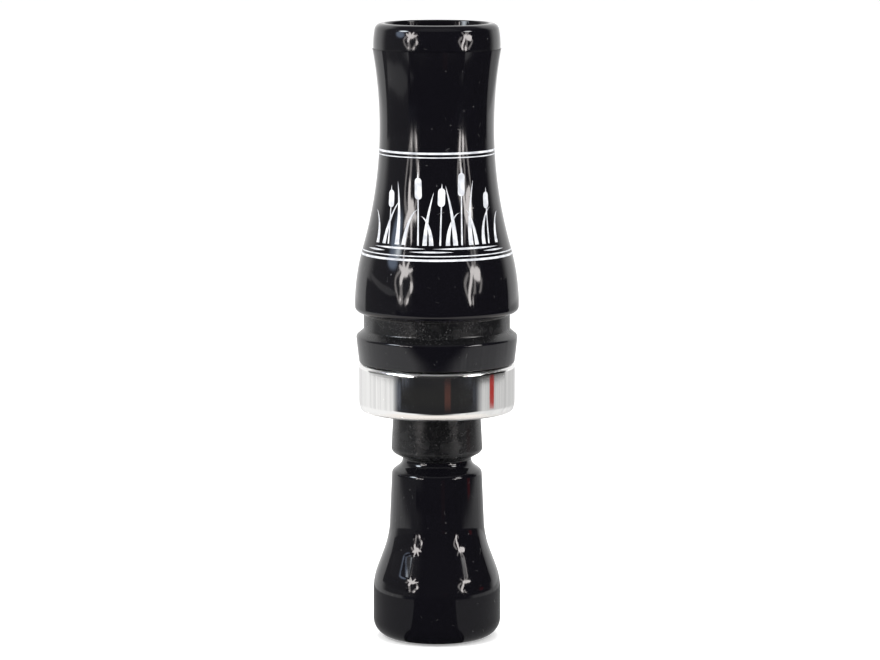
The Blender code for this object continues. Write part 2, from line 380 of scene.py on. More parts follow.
def frosted_engraving():
    """White where the cutter has left the acrylic matt, with the fine lines of its passes."""
    look = Look("engraving_frosted", rgb(0.6, 0.61, 0.64), 0.75, IOR=ACRYLIC_IOR)
    cloud = look.remap(look.noise(600, 4), 0.3, 0.7)
    look.set("Base Color", look.mix(cloud, rgb(0.4, 0.41, 0.44), rgb(0.66, 0.67, 0.69)))
    lines = look.noise(1.0, 1, vector=look.scaled(120, 120, 7000))
    look.bump(lines, 0.02)
    return look.material


def polished_aluminium():
    """Fine lines from the lathe, light wear, and rounded edges that are less shiny."""
    look = Look("aluminium_polished", rgb(0.9, 0.895, 0.885), 0.06, Metallic=1.0)
    lines = look.noise(1.0, 3, vector=look.scaled(30, 30, 12000))
    wear = look.noise(220, 4)
    height = look.node("ShaderNodeSeparateXYZ", {0: look.place}).outputs[2]
    middle = (BAND_LOW + BAND_HIGH) / 2 * MM
    half = (BAND_HIGH - BAND_LOW) / 2 * MM
    from_middle = look.maths("ABSOLUTE", look.maths("SUBTRACT", height, middle))
    edge = look.remap(from_middle, half - 0.9 * MM, half - 0.5 * MM, 0.0, 0.22)
    look.set("Roughness", look.maths("ADD", edge, look.remap(wear, 0.3, 0.8, 0.05, 0.11)))
    look.bump(look.maths("ADD", lines, look.maths("MULTIPLY", wear, 0.4)), 0.0009)
    return look.material


def moulded_rubber():
    """Matt black, with patches of grey bloom."""
    look = Look("rubber_moulded", grey(0.022), 0.55)
    bloom = look.remap(look.noise(500, 4), 0.45, 0.75)
    look.set("Base Color", look.mix(bloom, grey(0.018), grey(0.045)))
    look.set("Roughness", look.remap(bloom, 0, 1, 0.42, 0.62))
    look.bump(look.noise(3500, 3), 0.008)
    return look.material


def reed_film():
    """Polyester film, slightly frosted on its faces."""
    look = Look("reed_film", rgb(0.8, 0.83, 0.81), 0.3, Transmission_Weight=0.45, IOR=POLYESTER_IOR)
    cloud = look.remap(look.noise(160, 4), 0.35, 0.7)
    look.set("Base Color", look.mix(cloud, rgb(0.78, 0.82, 0.8), rgb(0.88, 0.9, 0.87)))
    look.set("Roughness", look.remap(look.noise(900, 3), 0.3, 0.7, 0.22, 0.42))
    rubbed = look.noise(1.0, 2, vector=look.scaled(5000, 5000, 120))
    look.bump(rubbed, 0.003)
    return look.material


def ground_cork():
    """Pressed granules in several browns, with dark lines and pits between them."""
    look = Look("cork_ground", rgb(0.5, 0.32, 0.17), 0.85)
    grain_scale = 850
    shift = look.node("ShaderNodeTexNoise", {"Vector": look.place, "Scale": 900.0}).outputs["Color"]
    small = look.node("ShaderNodeVectorMath", {0: shift, "Scale": 0.0006}, operation="SCALE").outputs[0]
    grains = look.node("ShaderNodeVectorMath", {0: look.place, 1: small}, operation="ADD").outputs[0]
    colours = look.cells(grain_scale, "Color", vector=grains)
    shade = look.node("ShaderNodeSeparateColor", {0: colours}).outputs[0]
    seams = look.cells(grain_scale, "Distance", "DISTANCE_TO_EDGE", grains)
    ramp = look.node("ShaderNodeValToRGB", {0: shade})
    ramp.color_ramp.elements[0].color = rgb(0.2, 0.1, 0.045)
    ramp.color_ramp.elements[1].color = rgb(0.66, 0.45, 0.26)
    for position, colour in ((0.2, rgb(0.42, 0.25, 0.12)), (0.55, rgb(0.55, 0.35, 0.18))):
        ramp.color_ramp.elements.new(position).color = colour
    gap = look.remap(seams, 0.09, 0.0)
    pits = look.remap(look.cells(380), 0.22, 0.1)
    dark = look.maths("MAXIMUM", look.maths("MULTIPLY", gap, 0.6), pits)
    look.set("Base Color", look.mix(dark, ramp.outputs[0], rgb(0.1, 0.05, 0.025)))
    height = look.maths("SUBTRACT", look.remap(seams, 0.0, 0.2), pits)
    look.bump(look.noise(2600, 4), 0.03, normal=look.bump(height, 0.09))
    return look.material


# ---------------------------------------------------------------- turned pieces


def make_barrel(finishes):
    """The outside down to the band's seat, then the bore and the funnel up to the mouth."""
    seat_r = BAND_INNER_R - PRESS_GAP
    corners = BARREL_OUTSIDE + [
        (seat_r, BAND_HIGH + PRESS_GAP, 0, TURNED),
        (seat_r, BAND_LOW, 0.3, TURNED),
        (BORE_R, BAND_LOW, 0.4, TURNED),
        (BORE_R, FUNNEL_Z, 10.0, POLISHED),
    ]
    return mesh_object("barrel_acrylic", lathe(rounded(corners)), finishes, "barrel", ["barrel"])


def make_band(look):
    """A ring whose lower edge tapers in."""
    corners = [
        (BAND_INNER_R, BAND_LOW, 0.2, POLISHED),
        (BAND_LOW_R, BAND_LOW, 0.5, POLISHED),
        (BAND_R, BAND_TAPER_Z, 3.0, POLISHED),
        (BAND_R, BAND_HIGH, 1.0, POLISHED),
        (BAND_INNER_R, BAND_HIGH, 0.12, POLISHED),
    ]
    return mesh_object("band_aluminium", lathe(rounded(corners)), [look], "barrel", ["band"])


def board_cutter_outline():
    """The tone board's flat and curve, and the slot behind it, as (y, z) points."""
    points = [(BOARD_Y, SLOT_BACK), (BOARD_Y, BOARD_FLAT_END)]
    run = BOARD_TIP + 1 - BOARD_FLAT_END
    steps = 40
    for k in range(1, steps + 1):
        along = run * k / steps
        points.append((BOARD_Y + along**2 / (2 * BOARD_ARC), BOARD_FLAT_END + along))
    top = points[-1][1]
    return points + [
        (-OUTSIDE, top),
        (-OUTSIDE, SLOT_FRONT),
        (SLOT_FRONT_Y, SLOT_FRONT),
        (SLOT_BACK_Y, SLOT_BACK),
    ]


def make_insert(finishes):
    """Tenon, outside and bell in one outline from the tip down and back up the sound bore."""
    corners = [
        (0, BOARD_TIP, 0, TURNED),
        (BOARD_TIP_R, BOARD_TIP, 1.5, TURNED),
        (BOARD_R, TENON_TOP + 0.4, 0.15, TURNED),
        (TENON_R, TENON_TOP, 0.15, TURNED),
    ]
    for middle in sorted(RING_GROOVES.values(), reverse=True):
        low, high = middle - RING_GROOVE_W / 2, middle + RING_GROOVE_W / 2
        corners += [
            (TENON_R, high, 0.1, TURNED),
            (RING_GROOVE_R, high, 0.1, TURNED),
            (RING_GROOVE_R, low, 0.1, TURNED),
            (TENON_R, low, 0.1, TURNED),
        ]
    corners.append((TENON_R, BAND_LOW - SEAT_GAP, 0.1, TURNED))
    corners += INSERT_OUTSIDE
    corners += [
        (BELL_R, 0, 0.8, POLISHED),
        (SOUND_BORE_R, FLARE_END, 12.0, TURNED),
        (SOUND_BORE_R, SOUND_BORE_END, 2.0, TURNED),
        (0, SOUND_BORE_END, 0, TURNED),
    ]
    bm = lathe(rounded(corners, closed=False), closed=False)
    insert = mesh_object("insert_acrylic", bm, finishes)
    cutter = mesh_object("board_cutter", prism(board_cutter_outline(), OUTSIDE, TURNED), finishes)
    cut(insert, cutter, "DIFFERENCE")
    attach(insert, "insert")
    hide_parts("insert")
    return insert


def make_o_ring(node, middle, look):
    """A squeezed ring, with the thin line where its mould closed."""
    middle_r = (RING_INNER_R + RING_OUTER_R) / 2
    half_r = (RING_OUTER_R - RING_INNER_R) / 2
    inset, mould_line = 0.04, 0.03  # how far its side lies inside the CAD's, and the line stands out
    squareness = 0.8  # the power that flattens the sides of the section
    steps = 32
    points = []
    for k in range(steps):
        angle = 2 * math.pi * k / steps
        line = mould_line if k == 0 else 0.0
        outward = math.copysign(abs(math.cos(angle)) ** squareness, math.cos(angle))
        r = middle_r + (half_r - inset + line) * outward
        z = middle + RING_W / 2 * math.sin(angle)
        points.append((r, z, 0))
    return mesh_object(node + "_rubber", lathe(points), [look], "seals", [node])


finishes = [polished_acrylic(), turned_acrylic()]
aluminium = polished_aluminium()
rubber = moulded_rubber()
film = reed_film()
cork = ground_cork()
engraving = frosted_engraving()

make_barrel(finishes)
make_band(aluminium)
make_insert(finishes)
for node, middle in RING_GROOVES.items():
    make_o_ring(node, middle, rubber)


# ---------------------------------------------------------------- reeds and wedge

FILM_GAP = 0.02  # between pieces that the wedge presses together
LIFT_LENGTH = 13.0  # over which a reed leaves the clamp and reaches its free place


def reed_place(node, z):
    """y of the middle of a film: pressed together under the wedge, and apart ahead of it."""
    lower = BOARD_Y - FILM_GAP - REED_T["reed_lower"] / 2
    pressed = {
        "reed_lower": lower,
        "reed_upper": lower - REED_T["reed_lower"] / 2 - FILM_GAP - REED_T["reed_upper"] / 2,
    }[node]
    share = min(1.0, max(0.0, (z - WEDGE_FRONT) / LIFT_LENGTH))
    share = share * share * (3 - 2 * share)
    return pressed + (REED_FREE_Y[node] - pressed) * share


def reed_half_width(z, tip):
    """The film's half width, which rounds off towards its tip."""
    left = tip - z
    if left >= REED_EAR:
        return REED_HALF_W
    return REED_HALF_W - REED_EAR + math.sqrt(max(0.0, REED_EAR**2 - (REED_EAR - left) ** 2))


def dimple(node, x, z):
    """How far the upper film's dimple pushes it towards the lower one."""
    if node != "reed_upper":
        return 0.0
    reach = math.hypot(x, z - DIMPLE_Z) / DIMPLE_R
    return DIMPLE_DEPTH * math.cos(reach * math.pi / 2) ** 2 if reach < 1 else 0.0


def make_reed(node, look):
    """A film on a fine grid, which bends between the wedge and its free end."""
    tip, thickness = REED_TIPS[node], REED_T[node]
    length = tip - REED_EAR - REED_BACK
    straight_count, tip_count, columns = 110, 10, 36
    straight_rows = [REED_BACK + length * k / straight_count for k in range(straight_count)]
    quarter = math.pi / 2
    tip_rows = [tip - REED_EAR * (1 - math.sin(quarter * k / tip_count)) for k in range(tip_count + 1)]
    bm = bmesh.new()
    sheets = []
    for side in (-1, 1):
        sheet = []
        for z in straight_rows + tip_rows:
            half = reed_half_width(z, tip)
            row = []
            for c in range(columns + 1):
                x = half * (2 * c / columns - 1)
                y = reed_place(node, z) + side * thickness / 2 + dimple(node, x, z)
                row.append(bm.verts.new((x * MM, y * MM, z * MM)))
            sheet.append(row)
        sheets.append(sheet)
    rows = len(sheets[0])
    for sheet in sheets:
        for i in range(rows - 1):
            for c in range(columns):
                bm.faces.new((sheet[i][c], sheet[i][c + 1], sheet[i + 1][c + 1], sheet[i + 1][c]))
    near, far = sheets
    for i in range(rows - 1):
        for c in (0, columns):
            bm.faces.new((near[i][c], near[i + 1][c], far[i + 1][c], far[i][c]))
    for c in range(columns):
        for i in (0, rows - 1):
            bm.faces.new((near[i][c], near[i][c + 1], far[i][c + 1], far[i][c]))
    reed = mesh_object(node + "_film", bm, [look])
    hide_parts(node)
    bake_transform(reed)
    return reed


def make_wedge(look):
    """Cork block with a crumbly skin: a tail under the overhang and a round back."""
    face_y = reed_place("reed_upper", REED_BACK) - REED_T["reed_upper"] / 2 - FILM_GAP
    step_z = SLOT_FRONT + WEDGE_GAP
    outline = [
        (face_y, WEDGE_BACK),
        (face_y, WEDGE_FRONT),
        (-OUTSIDE, WEDGE_CREST),
        (-OUTSIDE, step_z),
        (SLOT_FRONT_Y + WEDGE_GAP, step_z),
        (SLOT_BACK_Y + WEDGE_GAP, WEDGE_BACK),
    ]
    wedge = mesh_object("reed_wedge_cork", prism(outline, OUTSIDE), [look])
    envelope = [
        (0, WEDGE_BACK - 1, 0),
        (WEDGE_R, WEDGE_BACK - 1, 0),
        (WEDGE_R, WEDGE_FRONT + 1, 0),
        (0, WEDGE_FRONT + 1, 0),
    ]
    limit = mesh_object("wedge_envelope", lathe(envelope, closed=False), [look])
    cut(wedge, limit, "INTERSECT")
    roughen(wedge)
    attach(wedge, "wedge")
    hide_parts("reed_wedge")
    return wedge


def roughen(block):
    """Remeshes the cork finely and sinks grains and pits into its skin."""
    voxels = block.modifiers.new("voxels", "REMESH")
    voxels.mode = "VOXEL"
    voxels.voxel_size = 0.22 * MM
    smooth = block.modifiers.new("smooth", "SMOOTH")
    smooth.iterations = 2
    grain = bpy.data.textures.new("cork_grain", "VORONOI")
    grain.noise_scale = 0.0012
    relief = block.modifiers.new("relief", "DISPLACE")
    relief.texture = grain
    relief.texture_coords = "GLOBAL"
    relief.strength = 0.12 * MM
    relief.mid_level = 1.0
    apply_modifiers(block)


make_reed("reed_lower", film)
make_reed("reed_upper", film)
make_wedge(cork)


# ---------------------------------------------------------------- engraving

ENGRAVED_DEPTH = 0.05  # thickness of the frosted skin, half of it below the acrylic's surface
GRID = 0.6  # of the cuts that let a flat shape follow the barrel
CUTS_U, CUTS_Z = (-42, 42), (76, 104)  # where those cuts begin and end
REFERENCE_R = 13.0  # where flat widths are true
RING_PIECES = 120  # stretches that make one ring
FIELD_LOW, FIELD_HIGH = 80.3, 98.6  # heights between which the plants stand
OUTLINE_LOW, OUTLINE_HIGH = 70, 118  # heights between which the outline is looked up

outside_profile = [(z, r) for r, z, _ in rounded(BARREL_OUTSIDE, closed=False)]
outside_profile = sorted(p for p in outside_profile if OUTLINE_LOW < p[0] < OUTLINE_HIGH)
PROFILE_Z = np.array([p[0] for p in outside_profile])
PROFILE_R = np.array([p[1] for p in outside_profile])


def on_barrel(u, z, lift):
    """The point at flat place (u, z) in millimetres, wrapped round the barrel's front."""
    angle = u / REFERENCE_R
    r = float(np.interp(z, PROFILE_Z, PROFILE_R)) + lift
    return Vector((r * math.sin(angle), -r * math.cos(angle), z)) * MM


def engrave(name, outlines):
    """One frosted piece from flat closed outlines of (u, z) points."""
    bm = bmesh.new()
    for outline in outlines:
        bm.faces.new([bm.verts.new((u, 0, z)) for u, z in outline])
    bmesh.ops.triangulate(bm, faces=bm.faces)
    for axis, (low, high) in ((0, CUTS_U), (2, CUTS_Z)):
        for k in range(int((high - low) / GRID) + 1):
            plane = [0, 0, 0]
            plane[axis] = low + k * GRID
            normal = [0, 0, 0]
            normal[axis] = 1
            geometry = bm.verts[:] + bm.edges[:] + bm.faces[:]
            bmesh.ops.bisect_plane(bm, geom=geometry, plane_co=plane, plane_no=normal)
    front = {v: on_barrel(v.co.x, v.co.z, ENGRAVED_DEPTH / 2) for v in bm.verts}
    back = {v: on_barrel(v.co.x, v.co.z, -ENGRAVED_DEPTH / 2) for v in bm.verts}
    border = [e for e in bm.edges if e.is_boundary]
    faces = list(bm.faces)
    copies = {v: bm.verts.new(back[v]) for v in front}
    for face in faces:
        bm.faces.new([copies[v] for v in reversed(face.verts)])
    for edge in border:
        a, b = edge.verts
        bm.faces.new((a, b, copies[b], copies[a]))
    for v, place in front.items():
        v.co = place
    return mesh_object(name, bm, [engraving], "barrel")


def ring_outlines(z, width, count):
    """A line right round the barrel, as short stretches that meet."""
    girth = 2 * math.pi * REFERENCE_R
    outlines = []
    for k in range(count):
        low = -girth / 2 + girth * k / count
        high = -girth / 2 + girth * (k + 1) / count
        outlines.append([(low, z), (high, z), (high, z + width), (low, z + width)])
    return outlines


def leaf(u, z, lean, height, width, droop=0.0):
    """A blade of marsh grass that leans, and droops at its tip."""
    steps = 14
    spine = []
    for k in range(steps + 1):
        t = k / steps
        spine.append((u + lean * t * t, z + height * (t - droop * t**4), width / 2 * (1 - t) ** 0.7))
    left = [(a - w, b) for a, b, w in spine[:-1]]
    right = [(a + w, b) for a, b, w in spine[:-1]]
    return left + [(spine[-1][0], spine[-1][1])] + right[::-1]


def capsule(u, z, lean, length, width):
    """A seed head: a straight bar with round ends, on the line of its stem."""
    steps = 8
    points = []
    for end in (0, 1):
        for k in range(steps + 1):
            angle = math.pi * (k / steps + end)
            along = length - width if end == 0 else 0.0
            points.append((u + width / 2 * math.cos(angle), z + width / 2 * math.sin(angle) + along))
    return [(a + lean * (b - z) / length, b) for a, b in points]


def cattail(u, z, height, lean):
    """A stem with a seed head and the thin spike above it."""
    foot_w, neck_w, spike_w = 0.16, 0.12, 0.13  # half widths
    head_w, head_length, head_lean = 1.5, height * 0.3, lean * 0.31
    neck_u, neck_z = u + lean * 0.62, z + height * 0.62
    top_u, top_z = u + lean * 0.93, neck_z + head_length
    stem = [(u - foot_w, z), (u + foot_w, z), (neck_u + neck_w, neck_z), (neck_u - neck_w, neck_z)]
    head = capsule(neck_u, neck_z + head_w / 2, head_lean, head_length, head_w)
    spike = [(top_u - spike_w, top_z), (top_u + spike_w, top_z), (u + lean, z + height)]
    return [stem, head, spike]


def ripple(u, z, length, width):
    """A lens of still water."""
    steps = 12
    upper = []
    for k in range(steps + 1):
        rise = width * math.sin(math.pi * k / steps)
        upper.append((u - length / 2 + length * k / steps, z + rise))
    lower = [(a, 2 * z - b) for a, b in upper[1:-1]]
    return upper + lower[::-1]


def make_engraving():
    """Cattails, grass and water between two pairs of rings. Numbers are flat millimetres."""
    low, high = FIELD_LOW, FIELD_HIGH
    for name, z, width in (
        ("engraved_line_low_outer", low - 1.5, 0.42),
        ("engraved_line_low_inner", low - 0.6, 0.2),
        ("engraved_line_high_inner", high + 0.4, 0.2),
        ("engraved_line_high_outer", high + 1.1, 0.42),
    ):
        engrave(name, ring_outlines(z, width, RING_PIECES))
    foot = low + 1.6
    stems = [(-9.5, 11.5, -1.2), (-3.4, 14.4, -0.8), (0.6, 12.2, 0.5), (4.6, 15.4, 1.0), (10.4, 11.0, 1.4)]
    heads = [shape for u, height, lean in stems for shape in cattail(u, foot, height, lean)]
    engrave("engraved_cattails", heads)
    blades = [
        leaf(-12.4, foot, -2.6, 7.5, 0.8, 0.15),
        leaf(-10.6, foot, 2.6, 9.6, 0.8, 0.1),
        leaf(-7.6, foot, -1.4, 12.4, 0.9),
        leaf(-6.2, foot, 2.4, 8.8, 0.8, 0.2),
        leaf(-2.2, foot, 1.6, 10.5, 0.8),
        leaf(-1.0, foot, -2.2, 7.2, 0.8, 0.2),
        leaf(2.0, foot, 2.6, 8.0, 0.8, 0.2),
        leaf(3.4, foot, -1.6, 11.8, 0.9),
        leaf(6.4, foot, 1.8, 12.6, 0.9),
        leaf(7.6, foot, -1.6, 8.2, 0.8, 0.15),
        leaf(9.2, foot, 3.2, 8.8, 0.8, 0.2),
        leaf(12.6, foot, 2.2, 7.2, 0.8, 0.15),
    ]
    engrave("engraved_leaves", blades)
    water = [
        ripple(-7.5, low + 0.95, 11.0, 0.2),
        ripple(6.0, low + 0.95, 13.5, 0.2),
        ripple(-1.0, low + 0.3, 8.0, 0.17),
        ripple(11.5, low + 0.3, 5.5, 0.17),
        ripple(-12.5, low + 0.3, 5.0, 0.17),
    ]
    engrave("engraved_water", water)


make_engraving()


# ---------------------------------------------------------------- stage, lights and camera

CAMERA_PLACE = Vector((0.63, -719.9, 166.2)) * MM
CAMERA_PITCH = math.radians(8.16)
LENS = 146.6
FLOOR_R = 9.0
FLOOR_DROP = 0.0002  # keeps the floor clear of the bell's end
WARM, NEUTRAL = (1.0, 0.95, 0.93), (1.0, 1.0, 1.0)
COOL, BLUE = (0.86, 0.93, 1.0), (0.62, 0.76, 1.0)


def make_camera():
    data = bpy.data.cameras.new("camera")
    data.lens = LENS
    data.sensor_width = 36.0
    data.clip_end = 50.0
    camera = bpy.data.objects.new("camera", data)
    camera.location = CAMERA_PLACE
    camera.rotation_euler = (math.pi / 2 - CAMERA_PITCH, 0, 0)
    bpy.context.scene.collection.objects.link(camera)
    bpy.context.scene.camera = camera


def make_floor():
    """A white disc that reflections don't see: they see the table of make_world."""
    bm = bmesh.new()
    bmesh.ops.create_circle(bm, cap_ends=True, segments=96, radius=FLOOR_R)
    look = Look("floor_white", grey(0.9), 0.8, Emission_Color=grey(1.0), Emission_Strength=0.3)
    floor = mesh_object("floor", bm, [look.material])
    floor.location.z = -FLOOR_DROP
    floor.visible_glossy = False
    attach(floor, "seals")  # the call stands on its bell, so the floor stays under the insert


def sine(degrees):
    return math.sin(math.radians(degrees))


def cosine(degrees):
    return math.cos(math.radians(degrees))


def make_world():
    """A white tent, open at the front. Only reflections see it: the camera sees plain white.

    In reflections, its walls start well behind the call above the table, and beside it
    where the table shows. Directions are given by height (the sine of the elevation) and
    by frontness and leftness, which are the cosine and sine of the azimuth.
    """
    world = bpy.data.worlds.new("tent")
    bpy.context.scene.world = world
    world.use_nodes = True
    world.cycles.sampling_method = "NONE"
    sky = Nodes(world.node_tree, "Generated")
    x, y, height = sky.node("ShaderNodeSeparateXYZ", {0: sky.place}).outputs
    squares = sky.maths("ADD", sky.maths("MULTIPLY", x, x), sky.maths("MULTIPLY", y, y))
    flat = sky.maths("SQRT", squares)
    frontness = sky.maths("DIVIDE", sky.maths("MULTIPLY", y, -1.0), flat)
    leftness = sky.maths("DIVIDE", sky.maths("MULTIPLY", x, -1.0), flat)

    # Above the table: white walls behind, a faint fill elsewhere, and a dim roof
    turned = sky.maths("SUBTRACT", frontness, sky.remap(leftness, 0.0, 0.7, 0.0, 0.09))
    walls = sky.remap(turned, cosine(109), cosine(132))
    side_fill = sky.remap(leftness, 0.5, 0.8, 0.035, 0.19)
    above = sky.mix(walls, sky.mix(side_fill, grey(0.0), grey(1.0)), grey(1.05))
    above = sky.mix(sky.remap(height, sine(37), sine(53)), above, grey(0.12))

    # The table's brightness, with streaks, and its dark part, with dim folds far off at the sides
    level = sky.remap(leftness, -0.9, 0.9, 0.62, 0.93)
    level = sky.maths("ADD", level, sky.remap(height, sine(-10), sine(-20), 0.0, 0.25))
    heading = sky.node("ShaderNodeCombineXYZ", {0: frontness, 1: leftness}).outputs[0]
    streaks = sky.remap(sky.noise(17, 3, vector=heading, roughness=0.7), 0.3, 0.7, 0.8, 1.12)
    level = sky.maths("MULTIPLY", level, streaks)
    glow = sky.maths("MULTIPLY", sky.remap(frontness, 0.88, 0.5), sky.remap(height, sine(-11), sine(-10)))
    glow = sky.maths("MULTIPLY", glow, sky.remap(leftness, -0.7, 0.7, 0.45, 1.0))
    folds = sky.remap(sky.noise(23, 2, vector=heading, roughness=0.6), 0.35, 0.65, 0.55, 1.25)
    glow = sky.maths("MULTIPLY", glow, folds)
    shade = sky.mix(glow, grey(0.02, 1.1), rgb(0.105, 0.115, 0.14))

    # The dark part narrows towards the call, and right beside the call the table is all bright
    edge = sky.remap(height, sine(-11), sine(-24), cosine(61), 0.99)
    lit = sky.remap(sky.maths("SUBTRACT", frontness, edge), 0.04, -0.18)
    table = sky.mix(lit, shade, sky.mix(level, grey(0.0), grey(1.0)))
    table = sky.mix(sky.remap(height, sine(-28), sine(-34)), table, rgb(1.0, 0.95, 0.9))

    seen = sky.mix(sky.remap(height, sine(-6.2), sine(-7.4)), above, table)
    ray = sky.node("ShaderNodeLightPath").outputs
    light = sky.mix(ray["Is Glossy Ray"], grey(0.8), seen)
    light = sky.mix(ray["Is Camera Ray"], light, grey(1.0))
    sky.feed(sky.tree.nodes["Background"].inputs["Color"], light)


def emitter(name, colour, strength):
    """A material that glows, and isn't sampled as a lamp."""
    material = bpy.data.materials.new(name)
    material.use_nodes = True
    tree = material.node_tree
    tree.nodes.clear()
    glow = tree.nodes.new("ShaderNodeEmission")
    glow.inputs["Color"].default_value = rgb(*colour)
    glow.inputs["Strength"].default_value = strength
    output = tree.nodes.new("ShaderNodeOutputMaterial")
    tree.links.new(glow.outputs[0], output.inputs[0])
    material.cycles.emission_sampling = "NONE"
    return material


def fade_rim(material, width, height):
    """Lets a round card pass light at its rim, so that its edge is soft."""
    card = Nodes(material.node_tree, "Object")
    glow = card.tree.nodes["Emission"].outputs[0]
    unit = card.scaled(2 / width, 2 / height, 1)
    reach = card.node("ShaderNodeVectorMath", {0: unit}, operation="LENGTH").outputs["Value"]
    clear = card.node("ShaderNodeBsdfTransparent").outputs[0]
    share = card.remap(reach, 1.0, 0.45)
    mixed = card.node("ShaderNodeMixShader", {0: share, 1: clear, 2: glow}).outputs[0]
    card.feed(card.tree.nodes["Material Output"].inputs[0], mixed)


def as_reflection_only(obj):
    """A studio light or card that shows in reflections, and nowhere else."""
    obj.visible_camera = False
    obj.visible_diffuse = False
    obj.visible_shadow = False
    obj.visible_transmission = False


def around(azimuth, distance, height):
    """A place seen from the call's axis: degrees to the right of the front, and metres."""
    return Vector((distance * sine(azimuth), -distance * cosine(azimuth), height))


def facing(place, axis="Z"):
    """The matrix that puts a thing at place, with that axis towards the call's middle."""
    toward = Vector((0, 0, LENGTH / 2 * MM)) - place
    return Matrix.Translation(place) @ toward.to_track_quat(axis, "Y").to_matrix().to_4x4()


def make_card(name, place, width, height, colour, strength, soft=False):
    """A flat card. A soft one is round, and fades towards its rim."""
    bm = bmesh.new()
    if soft:
        bmesh.ops.create_circle(bm, cap_ends=True, segments=32, radius=0.5)
    else:
        bmesh.ops.create_grid(bm, x_segments=2, y_segments=2, size=0.5)
    glow = emitter(name, colour, strength)
    if soft:
        fade_rim(glow, width, height)
    bmesh.ops.scale(bm, vec=(width, height, 1), verts=bm.verts)
    card = mesh_object(name, bm, [glow])
    card.matrix_world = facing(place)
    as_reflection_only(card)


def make_arc(name, radii, heights, azimuths, colour, strength=1.0):
    """A card bent round the call's axis, between two places in (radius, height)."""
    bm = bmesh.new()
    steps = 24
    rims = []
    for radius, height in zip(radii, heights):
        turns = [azimuths[0] + (azimuths[1] - azimuths[0]) * k / steps for k in range(steps + 1)]
        rims.append([bm.verts.new(around(turn, radius, height)) for turn in turns])
    for k in range(steps):
        bm.faces.new((rims[0][k], rims[0][k + 1], rims[1][k + 1], rims[1][k]))
    card = mesh_object(name, bm, [emitter(name, colour, strength)])
    as_reflection_only(card)
    return card


def make_panel(name, radius, corners, strength):
    """A grey card bent round the call's axis, from corners of (azimuth, height)."""
    bm = bmesh.new()
    bm.faces.new([bm.verts.new(around(azimuth, radius, height)) for azimuth, height in corners])
    as_reflection_only(mesh_object(name, bm, [emitter(name, NEUTRAL, strength)]))


def make_umbrella(name, place, folds):
    """A studio umbrella, of which reflections show the bright folds round its hub.

    Each fold is a glow and a smooth line of (x, y, half width) in metres from the hub.
    """
    curve = bpy.data.curves.new(name, "CURVE")
    curve.dimensions = "3D"
    curve.bevel_depth = 1.0
    curve.bevel_resolution = 2
    curve.materials.append(emitter(name + "_bright", WARM, BRIGHT_GLOW))
    curve.materials.append(emitter(name + "_dim", WARM, DIM_GLOW))
    for glow, line in folds:
        spline = curve.splines.new("NURBS")
        spline.points.add(len(line) - 1)
        spline.use_endpoint_u = True
        spline.order_u = 3
        spline.material_index = glow
        for point, (x, y, half_width) in zip(spline.points, line):
            point.co = (x, y, 0, 1)
            point.radius = half_width
    lamp = bpy.data.objects.new(name, curve)
    bpy.context.scene.collection.objects.link(lamp)
    lamp.matrix_world = facing(place)
    as_reflection_only(lamp)


def make_light(name, place, size, energy):
    """A soft lamp, which neither the camera nor reflections see."""
    data = bpy.data.lights.new(name, "AREA")
    data.size = size
    data.energy = energy
    light = bpy.data.objects.new(name, data)
    light.matrix_world = facing(Vector(place), "-Z")
    light.visible_camera = False
    light.visible_glossy = False
    bpy.context.scene.collection.objects.link(light)


BRIGHT, DIM = 0, 1  # material slots of an umbrella
BRIGHT_GLOW, DIM_GLOW = 14.0, 4.0
LEFT_FOLDS = [
    (BRIGHT, [(-0.08, 0.0, 0.033), (0.0, -0.01, 0.06), (0.08, 0.0, 0.033)]),
    (BRIGHT, [(-0.02, 0.0, 0.033), (-0.12, 0.01, 0.023), (-0.2, 0.045, 0.01)]),
    (BRIGHT, [(0.02, 0.0, 0.033), (0.12, 0.01, 0.027), (0.19, 0.04, 0.013)]),
    (BRIGHT, [(-0.02, 0.01, 0.033), (-0.06, 0.07, 0.02), (-0.08, 0.125, 0.013)]),
    (BRIGHT, [(0.03, 0.01, 0.033), (0.08, 0.07, 0.023), (0.11, 0.125, 0.015)]),
    (DIM, [(-0.1, 0.0, 0.017), (-0.21, -0.03, 0.02), (-0.2, -0.09, 0.027)]),
    (BRIGHT, [(-0.18, -0.07, 0.017), (-0.24, -0.13, 0.056), (-0.17, -0.18, 0.023)]),
    (DIM, [(-0.2, -0.14, 0.027), (-0.14, -0.22, 0.029), (-0.04, -0.3, 0.033)]),
    (BRIGHT, [(-0.14, -0.22, 0.02), (-0.11, -0.26, 0.05), (-0.07, -0.29, 0.023)]),
    (BRIGHT, [(0.04, -0.02, 0.033), (0.13, -0.08, 0.046), (0.07, -0.14, 0.027)]),
    (DIM, [(0.08, -0.12, 0.033), (0.07, -0.2, 0.037), (0.05, -0.3, 0.05)]),
    (BRIGHT, [(0.07, -0.2, 0.023), (0.07, -0.25, 0.056), (0.05, -0.3, 0.037)]),
    (DIM, [(0.14, -0.01, 0.017), (0.29, -0.06, 0.023), (0.22, -0.2, 0.023), (0.1, -0.3, 0.017)]),
]
